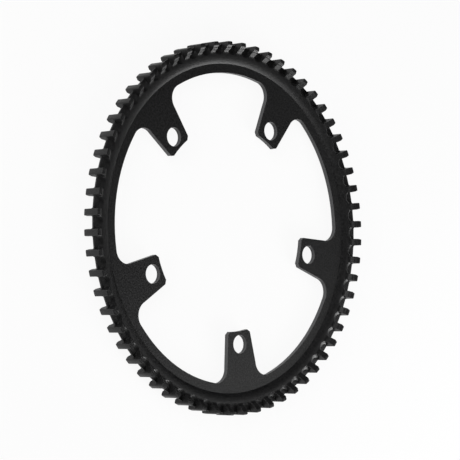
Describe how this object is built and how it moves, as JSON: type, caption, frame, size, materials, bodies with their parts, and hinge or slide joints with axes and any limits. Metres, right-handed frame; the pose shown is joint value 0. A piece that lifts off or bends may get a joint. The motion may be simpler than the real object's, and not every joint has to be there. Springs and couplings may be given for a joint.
{
  "type": "belt drive sprocket",
  "caption": "Flat ring sprocket for a toothed bicycle drive belt, with inward arms drilled for crank bolts.",
  "frame": {"origin": "on the axis of rotation, in the middle plane of the belt and of the teeth", "axes": "+Z along the axis of rotation, out of the face that is seen when it is fitted; +Y through the middle of one arm"},
  "size_m": [0.2076, 0.2076, 0.011],
  "materials": {
    "anodised_body": "bead-blasted and black anodised, satin"
  },
  "bodies": {
    "root": {"belt_sprocket": "anodised_body"}
  },
  "joints": []
}
